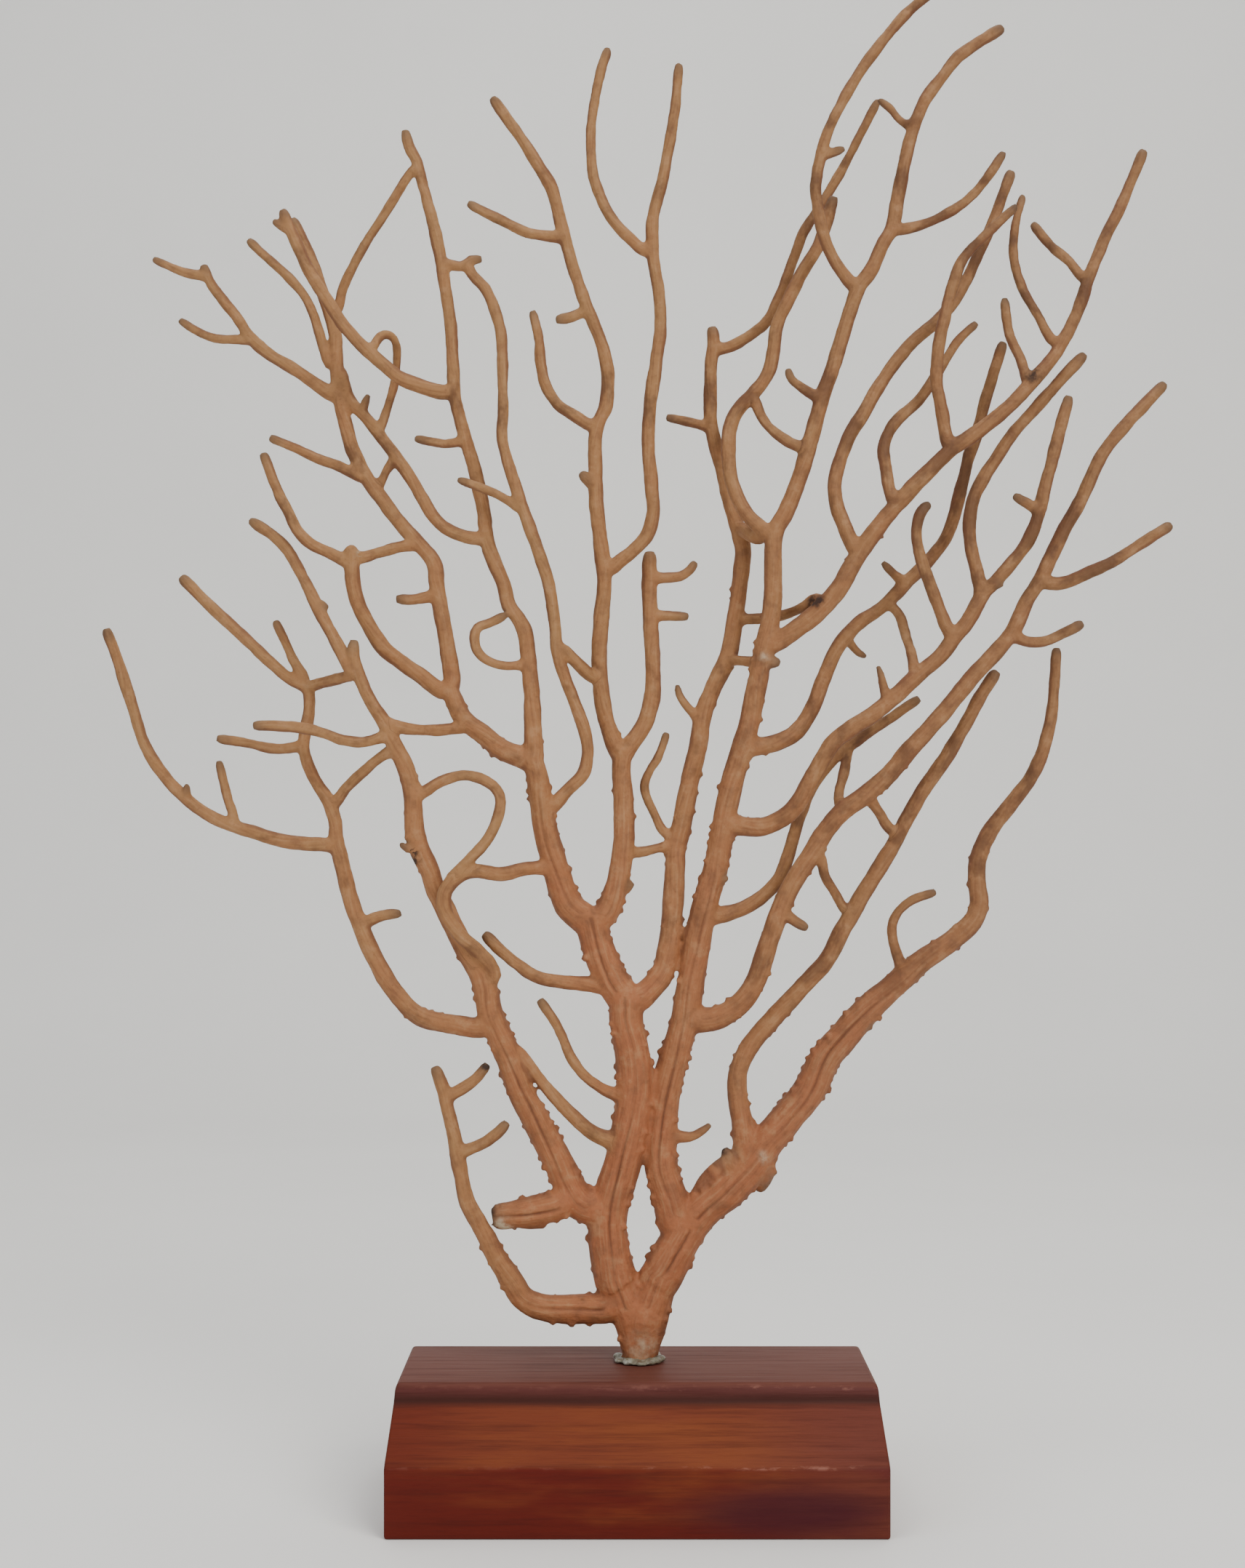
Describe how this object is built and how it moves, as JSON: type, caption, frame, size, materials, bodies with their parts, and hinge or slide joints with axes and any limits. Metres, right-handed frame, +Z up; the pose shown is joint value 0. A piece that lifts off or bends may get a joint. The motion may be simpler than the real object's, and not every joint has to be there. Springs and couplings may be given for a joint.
{
  "type": "sea fan",
  "caption": "Dried branching sea fan in terracotta and tan, glued upright on a moulded, red-stained wooden block.",
  "frame": {"origin": "middle of the wooden block's underside", "axes": "+Z up, +X along the block to the right, +Y away from the fan's front"},
  "size_m": [0.277, 0.072, 0.3917],
  "materials": {
    "coral": "matt",
    "stained_wood": "satin",
    "glue": "satin"
  },
  "bodies": {
    "root": {"centre_stem": "coral", "centre_tip": "coral", "centre_top": "coral", "centre_upper": "coral", "cross_left": "coral", "far_left_side": "coral", "far_left_stem": "coral", "far_left_tip": "coral", "foot": "coral", "glue": "glue", "inner_climber": "coral", "inner_left_stem": "coral", "left_fan_low": "coral", "left_fan_side": "coral", "left_fan_stem": "coral", "left_fan_tip": "coral", "left_fork": "coral", "left_top_twig": "coral", "loop_twig": "coral", "low_left_arm": "coral", "low_right_arm": "coral", "low_right_inner": "coral", "low_right_outer": "coral", "low_right_stem": "coral", "low_right_tip": "coral", "middle_left_stem": "coral", "middle_left_tip": "coral", "middle_right_twig": "coral", "middle_stem": "coral", "middle_top": "coral", "middle_top_left": "coral", "outer_left_middle": "coral", "outer_left_stem": "coral", "outer_left_tip": "coral", "right_arm": "coral", "right_arm_inner": "coral", "right_arm_middle": "coral", "right_arm_tip": "coral", "right_arm_twig": "coral", "right_back_arm": "coral", "right_back_twig": "coral", "right_front_arm": "coral", "right_front_left": "coral", "right_front_right": "coral", "right_front_twig": "coral", "right_inner": "coral", "right_stem": "coral", "right_top_left": "coral", "right_top_stem": "coral", "right_upper": "coral", "stem_left": "coral", "stem_middle": "coral", "stem_right": "coral", "tall_left_side": "coral", "tall_left_stem": "coral", "tall_left_tip": "coral", "wood_block": "stained_wood"}
  },
  "joints": []
}
